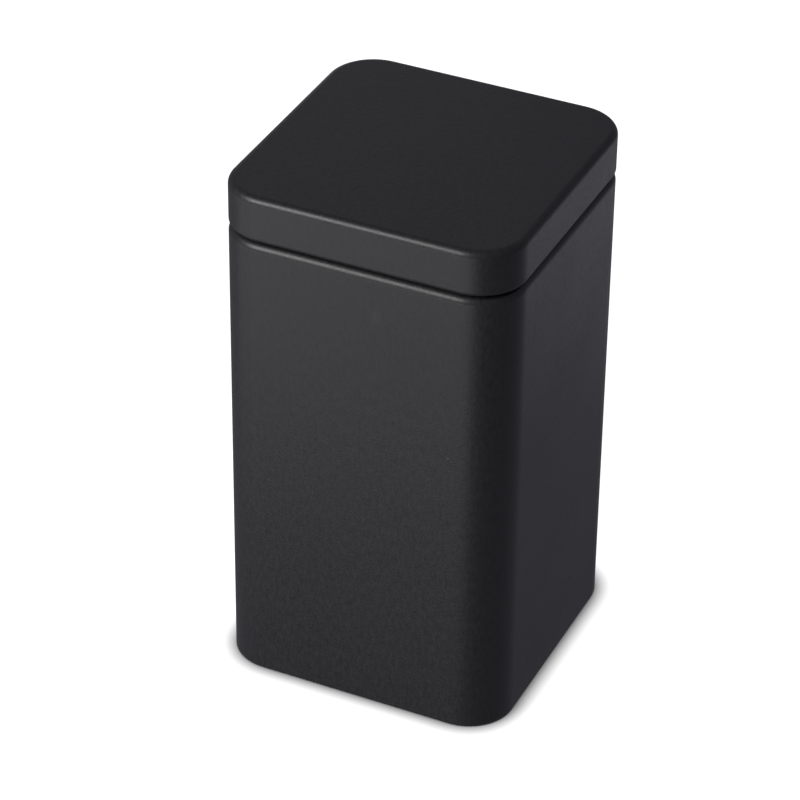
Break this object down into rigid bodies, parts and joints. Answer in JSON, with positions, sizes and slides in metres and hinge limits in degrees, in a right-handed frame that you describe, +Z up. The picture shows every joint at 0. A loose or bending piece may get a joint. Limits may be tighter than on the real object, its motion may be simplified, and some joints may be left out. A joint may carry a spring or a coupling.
{
  "type": "candle tin",
  "caption": "Tall square tinplate candle tin with rounded corners, rolled shoulder, inner neck collar and flush lift-off lid, matt black outside and bright inside.",
  "frame": {"origin": "on the ground, at the centre of the tin's square base", "axes": "+Z up through the lid, -Y out of the front wall, +Y out of the back wall with the welded side seam"},
  "size_m": [0.06, 0.0601, 0.109],
  "materials": {
    "black_lacquer": "satin-matt black lacquer with a fine grain, over tinplate",
    "bare_tinplate": "bright tinplate with a faint rolling grain",
    "seam_compound": "dull tan seaming compound"
  },
  "bodies": {
    "tin": {"body_shell": "black_lacquer", "neck_collar": "bare_tinplate", "base_panel": "black_lacquer", "base_seal": "seam_compound"},
    "lid": {"lid_shell": "black_lacquer"}
  },
  "joints": [
    {"name": "lid_lift", "type": "slide", "parent": "tin", "child": "lid", "axis": [0, 0, 1], "range_m": [0, 0.05]}
  ]
}
